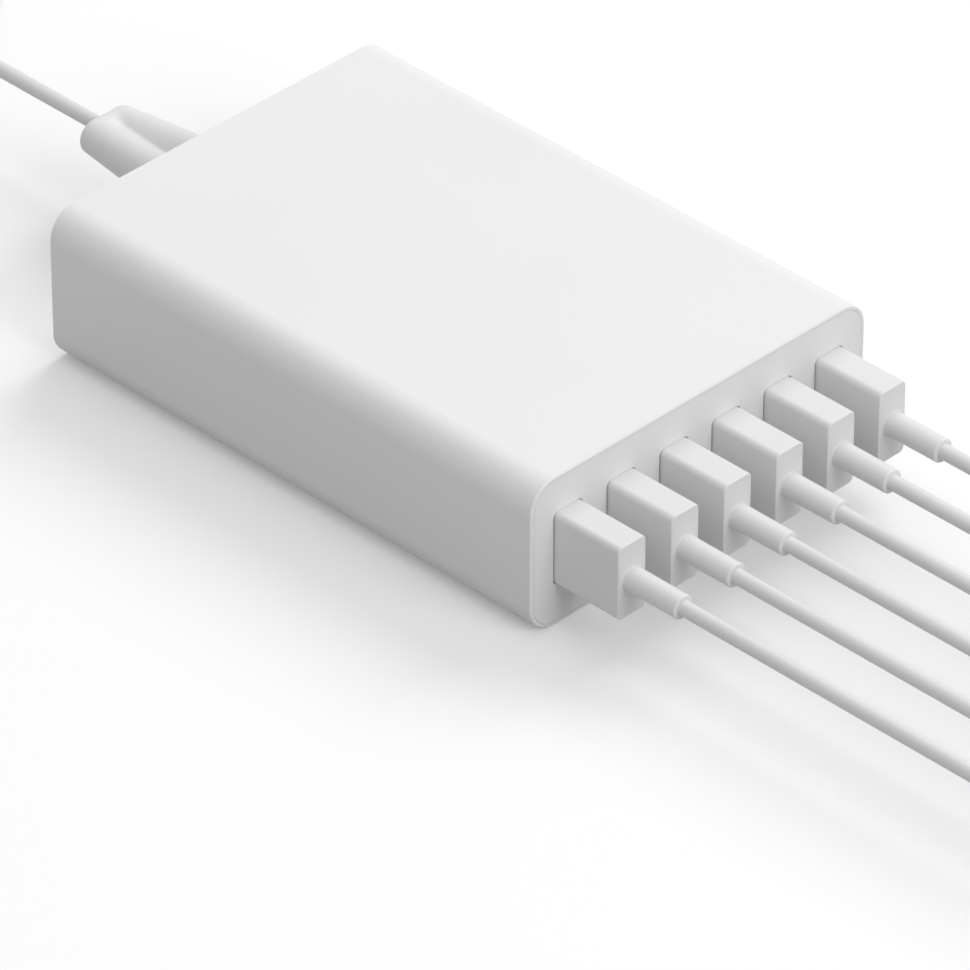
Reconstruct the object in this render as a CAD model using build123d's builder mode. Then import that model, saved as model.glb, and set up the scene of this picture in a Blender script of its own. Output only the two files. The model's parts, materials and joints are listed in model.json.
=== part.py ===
from build123d import *
import os
from math import degrees, pi, radians, sqrt, tan

# Desktop charger with six upright USB-A ports, six charging leads plugged in, and a mains cord.
# Frame: X runs across the front, Y from the front (negative) to the rear, Z up.
# The origin is the middle of the underside. All sizes are in millimetres.

# Housing sleeve
body_length = 100.0
body_width = 69.5
body_height = 26.0
body_corner = 4.8
wall = 2.0
end_lip = 0.66
end_edge = 0.2

# End panels, their locating skirts and the snaps that hold them
panel_thick = 2.0
panel_gap = 0.05
skirt_depth = 3.0
skirt_wall = 1.2
skirt_gap = 0.15
snap_length = 9.0
snap_width = 1.0
snap_height = 0.5
snap_gap = 0.12
snap_spread = 36.0

# Circuit board and the rails that carry it
board_thick = 1.6
board_side_gap = 0.2
board_end_gap = 0.3
rail_reach = 1.5
rail_thick = 1.2
rail_gap = 0.1

# Row of ports
port_count = 6
port_side_margin = 7.6
port_axis_z = 13.4
port_width = 5.7
port_height = 13.1
port_depth = 14.0
port_corner = 0.6
sheet_thick = 0.3
port_leg_width = 1.2
port_leg_reach = 2.4
port_leg_setback = 5.0
port_leg_spacing = 6.0
port_leg_gap = 0.1
insert_gap = 0.05
port_tongue_thick = 1.84
port_tongue_height = 11.1
port_tongue_length = 8.7
contact_count = 4
contact_pitch = 2.2
contact_width = 1.0
contact_length = 6.5
contact_thick = 0.2

# USB plugs
plug_width = 5.6
plug_height = 12.6
plug_corner = 0.9
plug_edge = 0.2
plug_reach = 12.75
plug_entry = 1.7
window_side_gap = 0.2
window_end_gap = 0.05
plug_shell_width = 4.5
plug_shell_height = 12.0
plug_shell_corner = 0.3
plug_shell_length = 11.6
plug_shell_seat = 3.0
plug_tongue_thick = 1.75
latch_hole = 2.2
latch_hole_pitch = 5.2
latch_hole_setback = 4.0
plug_end_gap = 0.2
fit_gap = 0.03
relief_diameter = 3.9
relief_length = 10.15
relief_root = 0.2
relief_end_edge = 0.3

# USB leads and the small plugs on their far ends
cable_diameter = 2.5
table_gap = 0.05
device_width = 9.6
device_thick = 5.2
device_corner = 1.9
device_length = 14.5
device_edge = 0.5
device_relief_diameter = 3.6
device_relief_length = 6.0
tip_width = 8.25
tip_thick = 2.4
tip_length = 6.6
tip_seat = 2.0
tip_depth = 5.6

# Mains inlet, and the two-lobed connector in it
inlet_axis_z = 13.6
inlet_width = 22.0
inlet_depth = 14.0
inlet_pin_spacing = 8.6
inlet_pin_diameter = 2.4
inlet_pin_reach = 8.5
inlet_pin_tail = 3.5
socket_depth = 11.0
socket_gap = 0.2
nose_radius = 3.6
nose_waist = 0.8
nose_length = 12.5
nose_bore_gap = 0.15
connector_gap = 0.3
connector_root_radius = 4.2
connector_root_waist = 1.0
connector_groove_y = 70.0
connector_groove_waist = 1.96
connector_end_spacing = 5.14
connector_end_radius = 2.91
connector_end_waist = 2.84
connector_end_y = 75.2
connector_edge = 0.5

# Mains cord, its put-away coil with a tie, and the mains plug
cord_diameter = 2.5
coil_ring_radius = 14.0
coil_bundle = 10.0
coil_centre = (15.5, 143.0)
tie_width = 7.0
tie_thick = 0.6
mains_plug_width = 24.0
mains_plug_thick = 13.0
mains_plug_corner = 3.5
mains_plug_straight = 7.0
mains_plug_taper = 11.0
mains_plug_neck_width = 12.0
mains_plug_neck_thick = 8.5
mains_plug_neck_corner = 3.2
mains_relief_diameter = 6.4
mains_relief_end = 3.6
mains_relief_length = 9.0
blade_spacing = 12.7
blade_width = 6.3
blade_thick = 1.5
blade_length = 15.0
blade_seat = 4.0
blade_hole = 3.0
blade_hole_setback = 4.5
blade_corner = 1.6

# Parts on the board
head_room = 0.8
bulk_can_diameter = 14.5
bulk_can_spacing = 16.0
bulk_can_wall_gap = 1.5
bulk_choke_gap = 0.6
can_edge = 0.8
output_can_diameter = 8.0
output_can_height = 12.5
output_can_pitch = 10.0
output_can_count = 4
output_can_setback = 17.0
chip_length = 5.0
chip_width = 4.0
chip_height = 1.6
chip_setback = 9.0
core_width = 27.0
core_depth = 14.0
core_leg = 5.0
core_yoke = 3.5
core_centre_leg = 8.0
core_x = 1.5
core_y = 9.0
winding_gap = 0.3
winding_depth = 20.0
winding_edge = 1.5
sink_plate = 2.0
sink_fin_count = 5
sink_fin_thick = 1.2
sink_fin_reach = 3.5
sink_wall_gap = 2.0
sink_setback = 27.0
sink_bridge_gap = 3.0
transistor_width = 10.0
transistor_thick = 4.4
transistor_height = 12.0
transistor_tab = 1.3
filter_inlet_gap = 2.15
filter_depth = 8.5
filter_height = 14.0
filter_edge = 0.8
filter_wall_gap = 2.0
filter_setback = 9.0
choke_rim = 0.5
choke_wall = 4.5
choke_height = 9.0
choke_edge = 1.8
choke_base_thick = 1.5
choke_wall_gap = 2.0
choke_inlet_gap = 1.65
choke_end_gap = 3.0
bridge_width = 14.5
bridge_thick = 3.5
bridge_height = 11.0
bridge_stand = 2.0
bridge_lead = 0.9
bridge_lead_count = 4
bridge_lead_pitch = 3.6
bridge_setback = 19.0


def inside_fold(corner):
    """The flat across a folded corner, seen from inside the sheet."""
    return corner - (2 - sqrt(2)) * sheet_thick


# Places that follow from the sizes above
front = -body_length / 2
rear = body_length / 2
body_mid = body_height / 2
inner_width = body_width - 2 * wall
inner_height = body_height - 2 * wall
inner_corner = body_corner - wall
inner_top = body_height - wall
panel_width = body_width - 2 * (end_lip + panel_gap)
panel_height = body_height - 2 * (end_lip + panel_gap)
panel_corner = body_corner - end_lip - panel_gap
skirt_width = inner_width - 2 * skirt_gap
skirt_height = inner_height - 2 * skirt_gap
skirt_corner = inner_corner - skirt_gap
snap_inset = panel_thick + skirt_depth / 2
port_pitch = (body_width - 2 * port_side_margin) / (port_count - 1)
port_places = [port_pitch * (n - (port_count - 1) / 2) for n in range(port_count)]
port_mouth = front + panel_thick
port_back = port_mouth + port_depth
board_top = port_axis_z - port_height / 2
board_bottom = board_top - board_thick
board_width = inner_width - 2 * board_side_gap
board_front = front + panel_thick + skirt_depth + board_end_gap
board_rear = rear - panel_thick - skirt_depth - board_end_gap
board_length = board_rear - board_front
tall_part = inner_top - head_room - board_top
plug_front = front - plug_reach
plug_back = front + plug_entry
relief_end = plug_front - relief_length
shell_start = plug_back - plug_shell_seat
shell_end = plug_back + plug_shell_length
shell_inner_width = plug_shell_width - 2 * sheet_thick
shell_inner_height = plug_shell_height - 2 * sheet_thick
shell_inner_corner = inside_fold(plug_shell_corner)
plug_tongue_height = shell_inner_height - 2 * (shell_inner_corner + fit_gap)
plug_tongue_x = (plug_tongue_thick - shell_inner_width) / 2
port_tongue_x = (shell_inner_width - port_tongue_thick) / 2 - fit_gap
inlet_mouth = rear - panel_thick
lobe_spread = inlet_pin_spacing / 2
connector_root_y = rear + connector_gap
coil_outer = coil_ring_radius + coil_bundle / 2

os.makedirs("parts", exist_ok=True)


def facing_front(y):
    """A sketch plane at depth y that faces the front: local x is X, local y is Z."""
    return Plane(origin=(0, y, 0), x_dir=(1, 0, 0), z_dir=(0, -1, 0))


def finish(piece, name):
    """Label a finished piece and write its STEP file."""
    piece.part.label = name
    export_step(piece.part, f"parts/{name}.step")


# One moulded tube: rebated at both ends for the panels, railed inside for the board
with BuildPart() as housing_sleeve:
    with BuildSketch(facing_front(front)):
        with Locations((0, body_mid)):
            RectangleRounded(body_width, body_height, body_corner)
            RectangleRounded(inner_width, inner_height, inner_corner, mode=Mode.SUBTRACT)
    extrude(amount=-body_length)
    for end, inward in ((front, -1), (rear, 1)):
        with BuildSketch(facing_front(end)):
            with Locations((0, body_mid)):
                RectangleRounded(body_width - 2 * end_lip, body_height - 2 * end_lip, body_corner - end_lip)
        extrude(amount=inward * panel_thick, mode=Mode.SUBTRACT)
    with BuildSketch(facing_front(board_front)):
        rail_x = inner_width / 2 - rail_reach / 2 + wall / 4
        rail_low = board_bottom - rail_gap - rail_thick / 2
        rail_high = board_top + rail_gap + rail_thick / 2
        with Locations(*[(side * rail_x, z) for side in (-1, 1) for z in (rail_low, rail_high)]):
            Rectangle(rail_reach + wall / 2, rail_thick)
    extrude(amount=-board_length)
    for snap_y in (front + snap_inset, rear - snap_inset):
        for snap_z in (wall, body_height - wall):
            with Locations(*[(x, snap_y, snap_z) for x in (-snap_spread / 2, snap_spread / 2)]):
                Box(
                    snap_length + 2 * snap_gap,
                    snap_width + 2 * snap_gap,
                    2 * (snap_height - skirt_gap + snap_gap),
                    mode=Mode.SUBTRACT,
                )
    end_faces = housing_sleeve.faces().filter_by(Axis.Y).sort_by(Axis.Y)
    chamfer(end_faces[0].outer_wire().edges() + end_faces[-1].outer_wire().edges(), length=end_edge)
finish(housing_sleeve, "housing_sleeve")


def on_axis(y):
    """A plane facing the front at depth y, its origin on the line through the middle of the ports' height."""
    return Plane(origin=(0, y, port_axis_z), x_dir=(1, 0, 0), z_dir=(0, -1, 0))


def on_inlet_axis(y):
    """A plane facing the front at depth y, its origin on the mains inlet's axis."""
    return Plane(origin=(0, y, inlet_axis_z), x_dir=(1, 0, 0), z_dir=(0, -1, 0))


def figure_eight(spread, radius, waist, mode=Mode.ADD):
    """Two round lobes, their centres 2 x spread apart, joined by concave arcs; waist is the half height."""
    hollow = (waist**2 + spread**2 - radius**2) / (2 * (radius - waist))
    share = radius / (hollow + radius)
    touch_x = spread * (1 - share)
    touch_z = (waist + hollow) * share
    side = spread + radius
    with BuildLine() as outline:
        ThreePointArc((touch_x, touch_z), (side, 0), (touch_x, -touch_z))
        ThreePointArc((touch_x, -touch_z), (0, -waist), (-touch_x, -touch_z))
        ThreePointArc((-touch_x, -touch_z), (-side, 0), (-touch_x, touch_z))
        ThreePointArc((-touch_x, touch_z), (0, waist), (touch_x, touch_z))
    make_face(outline.edges(), mode=mode)


def cut_corner_rectangle(width, height, corner, mode=Mode.ADD):
    """A rectangle with a small flat across each corner, as in folded sheet."""
    x = width / 2
    y = height / 2
    Polygon(
        (x, y - corner),
        (x - corner, y),
        (corner - x, y),
        (-x, y - corner),
        (-x, corner - y),
        (corner - x, -y),
        (x - corner, -y),
        (x, corner - y),
        mode=mode,
    )


def port_windows():
    with Locations(*[(x, 0) for x in port_places]):
        RectangleRounded(
            plug_width + 2 * window_side_gap,
            plug_height + 2 * window_end_gap,
            plug_corner + window_end_gap,
            mode=Mode.SUBTRACT,
        )


def inlet_opening():
    with Locations((0, inlet_axis_z - port_axis_z)):
        figure_eight(lobe_spread, nose_radius + socket_gap, nose_waist + socket_gap, mode=Mode.SUBTRACT)


def panel_with_skirt(y, inward, cut_openings):
    """An end panel whose skirt slides into the sleeve and snaps there."""
    with BuildPart() as panel:
        with BuildSketch(on_axis(y)):
            with Locations((0, body_mid - port_axis_z)):
                RectangleRounded(panel_width, panel_height, panel_corner)
            cut_openings()
        extrude(amount=inward * panel_thick)
        with BuildSketch(on_axis(y - inward * panel_thick)):
            with Locations((0, body_mid - port_axis_z)):
                RectangleRounded(skirt_width, skirt_height, skirt_corner)
                RectangleRounded(
                    skirt_width - 2 * skirt_wall,
                    skirt_height - 2 * skirt_wall,
                    skirt_corner - skirt_wall,
                    mode=Mode.SUBTRACT,
                )
        extrude(amount=inward * skirt_depth)
        snap_y = y - inward * snap_inset
        for snap_z in (wall + skirt_gap, body_height - wall - skirt_gap):
            with Locations(*[(side * snap_spread / 2, snap_y, snap_z) for side in (-1, 1)]):
                Box(snap_length, snap_width, 2 * (snap_height - skirt_gap))
    return panel


front_panel = panel_with_skirt(front, -1, port_windows)
finish(front_panel, "front_panel")
rear_panel = panel_with_skirt(rear, 1, inlet_opening)
finish(rear_panel, "rear_panel")


# Board, slotted for the legs of the ports
port_leg_places = [
    (x, port_mouth + port_leg_setback + k * port_leg_spacing) for x in port_places for k in (0, 1)
]
with BuildPart() as main_board:
    with BuildSketch(Plane.XY.offset(board_bottom)):
        with Locations((0, (board_front + board_rear) / 2)):
            Rectangle(board_width, board_length)
        with Locations(*port_leg_places):
            Rectangle(
                sheet_thick + 2 * port_leg_gap,
                port_leg_width + 2 * port_leg_gap,
                mode=Mode.SUBTRACT,
            )
    extrude(amount=board_thick)
finish(main_board, "main_board")


# Port shells: folded steel boxes that stand on edge on the board, legs through its slots
for n, x in enumerate(port_places, start=1):
    with BuildPart() as usb_port:
        with BuildSketch(on_axis(port_mouth)):
            with Locations((x, 0)):
                cut_corner_rectangle(port_width, port_height, port_corner)
        extrude(amount=-port_depth)
        with BuildSketch(on_axis(port_mouth)):
            with Locations((x, 0)):
                cut_corner_rectangle(
                    port_width - 2 * sheet_thick,
                    port_height - 2 * sheet_thick,
                    inside_fold(port_corner),
                )
        extrude(amount=sheet_thick - port_depth, mode=Mode.SUBTRACT)
        with BuildSketch(Plane.XY.offset(board_top + sheet_thick)):
            with Locations(*port_leg_places[2 * n - 2 : 2 * n]):
                Rectangle(sheet_thick, port_leg_width)
        extrude(amount=-port_leg_reach - sheet_thick)
    finish(usb_port, f"usb_port_{n}")


# Port inserts: a base that fills the back of each shell, and a tongue with its row of contacts
insert_back = port_back - sheet_thick
tongue_root = shell_end + plug_end_gap
contact_face = port_tongue_x - port_tongue_thick / 2
with BuildPart() as usb_port_inserts:
    with BuildSketch(on_axis(insert_back)):
        with Locations(*[(x, 0) for x in port_places]):
            Rectangle(
                port_width - 2 * (sheet_thick + insert_gap),
                port_height - 2 * (sheet_thick + inside_fold(port_corner)),
            )
    extrude(amount=insert_back - tongue_root)
    with BuildSketch(on_axis(tongue_root)):
        with Locations(*[(x + port_tongue_x, 0) for x in port_places]):
            Rectangle(port_tongue_thick, port_tongue_height)
    extrude(amount=port_tongue_length)
    with BuildSketch(on_axis(tongue_root)):
        contact_heights = [contact_pitch * (k - (contact_count - 1) / 2) for k in range(contact_count)]
        with Locations(*[(x + contact_face, z) for x in port_places for z in contact_heights]):
            Rectangle(2 * contact_thick, contact_width)
    extrude(amount=contact_length)
finish(usb_port_inserts, "usb_port_inserts")


# Plug bodies, moulded in one with their strain relief and with the tongue inside the steel shell
for n, x in enumerate(port_places, start=1):
    with BuildPart() as usb_plug:
        with BuildSketch(on_axis(plug_back)):
            with Locations((x, 0)):
                RectangleRounded(plug_width, plug_height, plug_corner)
        extrude(amount=plug_back - plug_front)
        chamfer(usb_plug.faces().sort_by(Axis.Y)[0].edges(), length=plug_edge)
        with BuildSketch(on_axis(plug_front)):
            with Locations((x, 0)):
                Circle(relief_diameter / 2)
        extrude(amount=relief_length)
        at_root = usb_plug.edges().filter_by(GeomType.CIRCLE).filter_by_position(
            Axis.Y, plug_front - plug_edge / 4, plug_front + plug_edge / 4
        )
        chamfer(at_root.sort_by(SortBy.RADIUS)[-1], length=relief_root)
        chamfer(usb_plug.edges().sort_by(Axis.Y)[0], length=relief_end_edge)
        with BuildSketch(on_axis(plug_back)):
            with Locations((x, 0)):
                cut_corner_rectangle(
                    plug_shell_width + 2 * fit_gap,
                    plug_shell_height + 2 * fit_gap,
                    plug_shell_corner,
                )
        extrude(amount=plug_shell_seat, mode=Mode.SUBTRACT)
        with BuildSketch(on_axis(shell_start)):
            with Locations((x, 0)):
                Rectangle(shell_inner_width - 2 * fit_gap, plug_tongue_height)
        extrude(amount=-plug_shell_seat)
        with BuildSketch(on_axis(shell_start)):
            with Locations((x + plug_tongue_x, 0)):
                Rectangle(plug_tongue_thick - 2 * fit_gap, plug_tongue_height)
        extrude(amount=-(shell_end - shell_start - sheet_thick))
    finish(usb_plug, f"usb_plug_{n}")


# Plug shells: open steel sleeves with the two latch holes on each broad side
latch_y = shell_end - latch_hole_setback
for n, x in enumerate(port_places, start=1):
    with BuildPart() as usb_plug_shell:
        with BuildSketch(on_axis(shell_start)):
            with Locations((x, 0)):
                cut_corner_rectangle(plug_shell_width, plug_shell_height, plug_shell_corner)
                cut_corner_rectangle(
                    shell_inner_width, shell_inner_height, shell_inner_corner, mode=Mode.SUBTRACT
                )
        extrude(amount=-(shell_end - shell_start))
        with Locations(*[(x, latch_y, port_axis_z + k * latch_hole_pitch / 2) for k in (-1, 1)]):
            Box(plug_shell_width + sheet_thick, latch_hole, latch_hole, mode=Mode.SUBTRACT)
    finish(usb_plug_shell, f"usb_plug_{n}_shell")


# Routes of the leads. Each lead runs straight out of its relief, droops to the table and lies there.
# A point is the sideways shift from its port, the distance ahead of the relief's end, and the height.
# The point where a lead meets the table is lower than the lead, because the arc there passes above it.
cable_touch = 0.7
device_mid = device_thick / 2
lead_routes = [
    [
        (0.0, 0.0, port_axis_z),
        (0.0, 72.0, port_axis_z),
        (-1.8, 120.0, cable_touch),
        (-2.2, 148.0, device_mid),
        (-2.0, 162.0, device_mid),
    ],
    [
        (0.0, 0.0, port_axis_z),
        (0.0, 70.0, port_axis_z),
        (-0.4, 118.0, cable_touch),
        (-1.6, 145.0, device_mid),
        (-1.4, 159.0, device_mid),
    ],
    [
        (0.0, 0.0, port_axis_z),
        (0.0, 69.0, port_axis_z),
        (-1.4, 119.0, cable_touch),
        (-0.8, 148.0, device_mid),
        (-0.6, 162.0, device_mid),
    ],
    [
        (0.0, 0.0, port_axis_z),
        (0.0, 67.0, port_axis_z),
        (1.8, 115.0, cable_touch),
        (1.0, 142.0, device_mid),
        (0.7, 156.0, device_mid),
    ],
    [
        (0.0, 0.0, port_axis_z),
        (0.0, 68.0, port_axis_z),
        (0.8, 118.0, cable_touch),
        (1.9, 146.0, device_mid),
        (1.6, 160.0, device_mid),
    ],
    [
        (0.0, 0.0, port_axis_z),
        (0.0, 65.0, port_axis_z),
        (2.3, 112.0, cable_touch),
        (2.5, 139.0, device_mid),
        (2.2, 153.0, device_mid),
    ],
]
bend_share = 0.45


def bend_radii(points):
    """The radius of each corner of a route, as large as the shorter of its two runs allows."""
    spots = [Vector(p) for p in points]
    radii = []
    for before, here, after in zip(spots, spots[1:], spots[2:]):
        turn = radians((here - before).get_angle(after - here))
        shorter = min((here - before).length, (after - here).length)
        radii.append(bend_share * shorter / tan(turn / 2))
    return radii


def tube_along(points, diameter, name):
    """A round tube along straight runs joined by tangent arcs; prints its bends and its length."""
    radii = bend_radii(points)
    with BuildPart() as tube:
        with BuildLine() as route:
            FilletPolyline(*points, radius=radii)
        path = route.wire()
        with BuildSketch(Plane(origin=path @ 0, z_dir=path % 0)):
            Circle(diameter / 2)
        sweep()
    share = tube.part.volume / (pi * diameter**2 / 4 * path.length)
    print(name, "length", round(path.length, 1), "volume share", round(share, 4))
    print("   bend radii", [round(r, 1) for r in radii])
    return tube


lead_points = [
    [(x + shift, relief_end - ahead, z) for shift, ahead, z in route]
    for x, route in zip(port_places, lead_routes)
]
for n, points in enumerate(lead_points, start=1):
    usb_cable = tube_along(points, cable_diameter, f"usb_cable_{n}")
    finish(usb_cable, f"usb_cable_{n}")


# Small device plugs that lie flat on the table, each in line with the end of its lead
for n, points in enumerate(lead_points, start=1):
    along = (Vector(points[-1]) - Vector(points[-2])).normalized()
    start = Vector(points[-1])
    across = Vector(0, 0, 1).cross(along)
    root = start + along * device_relief_length
    face = root + along * device_length
    seat = face - along * tip_seat
    with BuildPart() as device_plug:
        with BuildSketch(Plane(origin=root, x_dir=across, z_dir=along)):
            RectangleRounded(device_width, device_thick, device_corner)
        extrude(amount=device_length)
        chamfer(device_plug.faces().filter_by(GeomType.PLANE).sort_by(Axis.Y)[-1].edges(), length=device_edge)
        with BuildSketch(Plane(origin=start, x_dir=across, z_dir=along)):
            Circle(device_relief_diameter / 2)
        extrude(amount=device_relief_length)
        with BuildSketch(Plane(origin=seat, x_dir=across, z_dir=along)):
            RectangleRounded(tip_width + 2 * fit_gap, tip_thick + 2 * fit_gap, tip_thick / 2)
        extrude(amount=tip_seat, mode=Mode.SUBTRACT)
    finish(device_plug, f"device_plug_{n}")
    with BuildPart() as device_tip:
        with BuildSketch(Plane(origin=seat, x_dir=across, z_dir=along)):
            SlotOverall(tip_width, tip_thick)
        extrude(amount=tip_seat + tip_length)
        with BuildSketch(Plane(origin=face + along * tip_length, x_dir=across, z_dir=along)):
            SlotOverall(tip_width - 2 * sheet_thick, tip_thick - 2 * sheet_thick)
        extrude(amount=-tip_depth, mode=Mode.SUBTRACT)
    finish(device_tip, f"device_plug_{n}_tip")


# Mains inlet: a block on the board with a two-lobed socket towards the rear, and two round pins
with BuildPart() as mains_inlet:
    with BuildSketch(on_inlet_axis(inlet_mouth)):
        Rectangle(inlet_width, 2 * (inlet_axis_z - board_top))
    extrude(amount=inlet_depth)
    with BuildSketch(on_inlet_axis(inlet_mouth)):
        figure_eight(lobe_spread, nose_radius + socket_gap, nose_waist + socket_gap)
    extrude(amount=socket_depth, mode=Mode.SUBTRACT)
    with BuildSketch(on_inlet_axis(inlet_mouth)):
        with Locations((-lobe_spread, 0), (lobe_spread, 0)):
            Circle(inlet_pin_diameter / 2 + fit_gap)
    extrude(amount=inlet_depth, mode=Mode.SUBTRACT)
finish(mains_inlet, "mains_inlet")

pin_start = inlet_mouth - socket_depth + inlet_pin_reach
with BuildPart() as mains_inlet_pins:
    with BuildSketch(on_inlet_axis(pin_start)):
        with Locations((-lobe_spread, 0), (lobe_spread, 0)):
            Circle(inlet_pin_diameter / 2)
    extrude(amount=inlet_pin_reach + inlet_pin_tail)
    chamfer(mains_inlet_pins.edges().group_by(Axis.Y)[-1], length=inlet_pin_diameter / 4)
finish(mains_inlet_pins, "mains_inlet_pins")

# Mains connector: two-lobed nose in the socket, body that tapers to the cord while its groove runs out
end_spread = connector_end_spacing / 2
groove_share = (connector_groove_y - connector_root_y) / (connector_end_y - connector_edge - connector_root_y)
groove_spread = lobe_spread + (end_spread - lobe_spread) * groove_share
groove_radius = connector_root_radius + (connector_end_radius - connector_root_radius) * groove_share
with BuildPart() as mains_connector:
    with BuildSketch(on_inlet_axis(connector_root_y)):
        figure_eight(lobe_spread, connector_root_radius, connector_root_waist)
    with BuildSketch(on_inlet_axis(connector_groove_y)):
        figure_eight(groove_spread, groove_radius, connector_groove_waist)
    with BuildSketch(on_inlet_axis(connector_end_y - connector_edge)):
        figure_eight(end_spread, connector_end_radius, connector_end_waist)
    with BuildSketch(on_inlet_axis(connector_end_y)):
        figure_eight(end_spread, connector_end_radius - connector_edge, connector_end_waist - connector_edge)
    loft(ruled=True)
    with BuildSketch(on_inlet_axis(connector_root_y)):
        figure_eight(lobe_spread, nose_radius, nose_waist)
    extrude(amount=nose_length)
    with BuildSketch(on_inlet_axis(connector_root_y - nose_length)):
        with Locations((-lobe_spread, 0), (lobe_spread, 0)):
            Circle(inlet_pin_diameter / 2 + nose_bore_gap)
    extrude(amount=-nose_length, mode=Mode.SUBTRACT)
finish(mains_connector, "mains_connector")


# Mains cord: out to the coil, the coil as one ring, and the tail to the plug
cord_low = cord_diameter / 2 + table_gap
coil_x, coil_y = coil_centre
mains_plug_mid = mains_plug_thick / 2
cord_points = [
    (0.0, connector_end_y, inlet_axis_z),
    (0.0, 108.0, inlet_axis_z),
    (-0.8, 128.0, 9.2),
    (-2.2, 142.0, 8.4),
]
tail_points = [
    (9.6, 125.3, cord_low),
    (-3.0, 125.9, cord_low + 0.1),
    (-14.5, 131.5, 3.6),
    (-21.0, 142.0, mains_plug_mid),
    (-21.0, 152.5, mains_plug_mid),
]


def outside_the_coil(points, name):
    """A tube along the points, ended where it meets the round outside of the coil."""
    whole = tube_along(points, cord_diameter, name)
    with BuildPart() as cut:
        add(whole.part)
        with BuildSketch(Plane.XY):
            with Locations(coil_centre):
                Circle(coil_outer)
        extrude(amount=body_height, mode=Mode.SUBTRACT)
    return cut


mains_cord = outside_the_coil(cord_points, "mains_cord")
finish(mains_cord, "mains_cord")
mains_cord_tail = outside_the_coil(tail_points, "mains_cord_tail")
finish(mains_cord_tail, "mains_cord_tail")

# The tie is a flat band pulled tight round the bundle, on the far side of the ring
coil_axis = Axis((coil_x, coil_y, 0), (0, 0, 1))
tie_turn = degrees(tie_width / coil_ring_radius)
tied_bundle = coil_bundle - 2 * tie_thick


def across_bundle(angle):
    """A plane through the coil's axis, turned from X by angle: local x is the radius, local y is Z."""
    outward = Vector(1, 0, 0).rotate(Axis.Z, angle)
    return Plane(origin=(coil_x, coil_y, 0), x_dir=outward, z_dir=outward.cross(Vector(0, 0, 1)))


def bundle_section(size, mode=Mode.ADD):
    with Locations((coil_ring_radius, coil_bundle / 2)):
        Rectangle(size, size, mode=mode)


with BuildPart() as cord_tie:
    with BuildSketch(across_bundle(-tie_turn / 2)):
        bundle_section(coil_bundle)
        bundle_section(tied_bundle, mode=Mode.SUBTRACT)
    revolve(axis=coil_axis, revolution_arc=tie_turn)
finish(cord_tie, "cord_tie")

with BuildPart() as mains_cord_coil:
    with BuildSketch(across_bundle(tie_turn / 2)):
        bundle_section(coil_bundle)
    revolve(axis=coil_axis, revolution_arc=360 - tie_turn)
    with BuildSketch(across_bundle(-tie_turn / 2)):
        bundle_section(tied_bundle)
    revolve(axis=coil_axis, revolution_arc=tie_turn)
finish(mains_cord_coil, "mains_cord_coil")

# Mains plug, lying flat: a short relief, a body that widens to its face, and two flat blades
tail_end = Vector(tail_points[-1])
neck_y = tail_end.Y + mains_relief_length
shoulder_y = neck_y + mains_plug_taper
face_y = shoulder_y + mains_plug_straight


def across_plug(y):
    """A plane at depth y that faces the rear, its origin on the mains plug's axis."""
    return Plane(origin=(tail_end.X, y, mains_plug_mid), x_dir=(-1, 0, 0), z_dir=(0, 1, 0))


blade_places = [(-blade_spacing / 2, 0), (blade_spacing / 2, 0)]
with BuildPart() as mains_plug:
    with BuildSketch(across_plug(tail_end.Y)):
        Circle(mains_relief_end / 2)
    with BuildSketch(across_plug(neck_y)):
        Circle(mains_relief_diameter / 2)
    loft()
    with BuildSketch(across_plug(neck_y)):
        RectangleRounded(mains_plug_neck_width, mains_plug_neck_thick, mains_plug_neck_corner)
    with BuildSketch(across_plug(shoulder_y)):
        RectangleRounded(mains_plug_width, mains_plug_thick, mains_plug_corner)
    loft()
    with BuildSketch(across_plug(shoulder_y)):
        RectangleRounded(mains_plug_width, mains_plug_thick, mains_plug_corner)
    extrude(amount=mains_plug_straight)
    with BuildSketch(across_plug(face_y)):
        with Locations(*blade_places):
            Rectangle(blade_thick + 2 * fit_gap, blade_width + 2 * fit_gap)
    extrude(amount=-blade_seat, mode=Mode.SUBTRACT)
finish(mains_plug, "mains_plug")

blade_end = face_y + blade_length
with BuildPart() as mains_plug_blades:
    with BuildSketch(across_plug(face_y - blade_seat)):
        with Locations(*blade_places):
            Rectangle(blade_thick, blade_width)
    extrude(amount=blade_seat + blade_length)
    far_corners = mains_plug_blades.edges().filter_by(Axis.X).group_by(Axis.Y)[-1]
    fillet(far_corners, radius=blade_corner)
    with Locations((tail_end.X, blade_end - blade_hole_setback, mains_plug_mid)):
        Cylinder(blade_hole / 2, mains_plug_width, rotation=(0, 90, 0), mode=Mode.SUBTRACT)
finish(mains_plug_blades, "mains_plug_blades")


# Parts on the board, from the inlet forward
def on_board():
    return Plane.XY.offset(board_top)


room_beside_inlet = (inner_width - inlet_width) / 2
choke_base = room_beside_inlet - choke_wall_gap - choke_inlet_gap
choke_place = (
    -(inner_width / 2 - choke_wall_gap - choke_base / 2),
    board_rear - choke_end_gap - choke_base / 2,
)
with BuildPart() as line_choke:
    with BuildSketch(on_board()):
        with Locations(choke_place):
            Rectangle(choke_base, choke_base)
    extrude(amount=choke_base_thick)
    with BuildSketch(Plane.XY.offset(board_top + choke_base_thick)):
        with Locations(choke_place):
            Circle(choke_base / 2 - choke_rim)
            Circle(choke_base / 2 - choke_rim - choke_wall, mode=Mode.SUBTRACT)
    extrude(amount=choke_height)
    chamfer(line_choke.edges().filter_by(GeomType.CIRCLE).group_by(Axis.Z)[-1], length=choke_edge)
finish(line_choke, "line_choke")

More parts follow.
